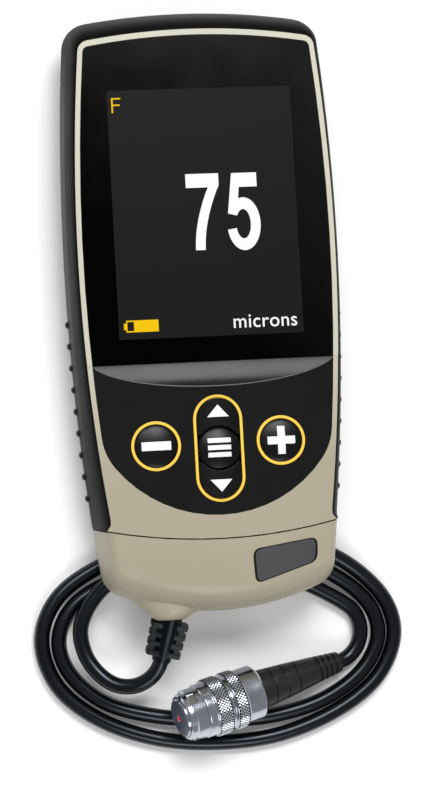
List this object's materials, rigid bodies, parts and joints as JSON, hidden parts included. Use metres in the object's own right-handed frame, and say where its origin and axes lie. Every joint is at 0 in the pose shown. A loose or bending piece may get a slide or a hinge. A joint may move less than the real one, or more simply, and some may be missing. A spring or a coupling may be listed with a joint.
{
  "type": "coating thickness gauge",
  "caption": "Hand-held gauge for coating thickness: display, keypad and grip armour, with a spring-loaded probe on a looped cable from its plug-in end cap.",
  "frame": {"origin": "middle of the gauge's length and width, on the surface that its back lies on; the cable and probe aren't counted", "axes": "+X to the right of the display, +Y towards the display end, +Z out of the display"},
  "size_m": [0.09, 0.1782, 0.0262],
  "materials": {
    "beige_plastic": "satin",
    "armour_rubber": "matt",
    "back_plastic": "matt",
    "grey_rubber": "matt",
    "screw_steel": "satin",
    "spring_steel": "bright",
    "cell_wrap": "satin",
    "board_green": "satin",
    "black_plastic": "satin",
    "white_plastic": "satin",
    "lcd_glass": "satin",
    "window_black": "gloss",
    "keypad_black": "satin",
    "key_black": "satin",
    "ring_yellow": "satin",
    "cable_rubber": "satin",
    "probe_chrome": "polished",
    "probe_face": "satin",
    "copper_wire": "satin",
    "ruby_red": "gloss"
  },
  "bodies": {
    "housing": {"front_bezel": "beige_plastic", "rubber_armour": "armour_rubber", "back_cover": "back_plastic", "case_gasket": "grey_rubber", "case_screws": "screw_steel", "battery_door": "back_plastic", "door_gasket": "grey_rubber", "door_screws": "screw_steel", "battery_1": "cell_wrap", "battery_2": "cell_wrap", "battery_3": "cell_wrap", "battery_contacts": "spring_steel", "main_board": "board_green", "beeper": "black_plastic", "probe_socket": "black_plastic", "lcd_frame": "white_plastic", "lcd_panel": "lcd_glass", "display_window": "window_black", "keypad_panel": "keypad_black", "key_rings": "ring_yellow", "keymat": "grey_rubber", "snap_domes": "spring_steel"},
    "minus_key_body": {"minus_key": "key_black"},
    "plus_key_body": {"plus_key": "key_black"},
    "up_key_body": {"up_key": "key_black"},
    "menu_key_body": {"menu_key": "key_black"},
    "down_key_body": {"down_key": "key_black"},
    "probe_lead": {"probe_cap": "beige_plastic", "probe_plug": "black_plastic", "cable_boot": "cable_rubber", "cable": "cable_rubber", "probe_boot": "cable_rubber", "probe_barrel": "probe_chrome", "probe_nose": "probe_chrome", "probe_spring": "spring_steel"},
    "probe_plunger_body": {"probe_plunger": "probe_face", "sensor_coil": "copper_wire", "ruby_tip": "ruby_red"}
  },
  "joints": [
    {"name": "minus_key_press", "type": "slide", "parent": "housing", "child": "minus_key_body", "axis": [0, 0, -1], "range_m": [0, 0.0008], "stiffness_N_per_m": 400, "springref_m": -0.002},
    {"name": "plus_key_press", "type": "slide", "parent": "housing", "child": "plus_key_body", "axis": [0, 0, -1], "range_m": [0, 0.0008], "stiffness_N_per_m": 400, "springref_m": -0.002},
    {"name": "up_key_press", "type": "slide", "parent": "housing", "child": "up_key_body", "axis": [0, 0, -1], "range_m": [0, 0.0008], "stiffness_N_per_m": 400, "springref_m": -0.002},
    {"name": "menu_key_press", "type": "slide", "parent": "housing", "child": "menu_key_body", "axis": [0, 0, -1], "range_m": [0, 0.0008], "stiffness_N_per_m": 400, "springref_m": -0.002},
    {"name": "down_key_press", "type": "slide", "parent": "housing", "child": "down_key_body", "axis": [0, 0, -1], "range_m": [0, 0.0008], "stiffness_N_per_m": 400, "springref_m": -0.002},
    {"name": "probe_cap_pull", "type": "slide", "parent": "housing", "child": "probe_lead", "axis": [0, -1, 0], "range_m": [0, 0.012]},
    {"name": "probe_plunger_press", "type": "slide", "parent": "probe_lead", "child": "probe_plunger_body", "axis": [0.9414, 0.2435, -0.2334], "range_m": [0, 0.002], "stiffness_N_per_m": 200, "springref_m": -0.004, "deforming": ["probe_spring"]}
  ]
}
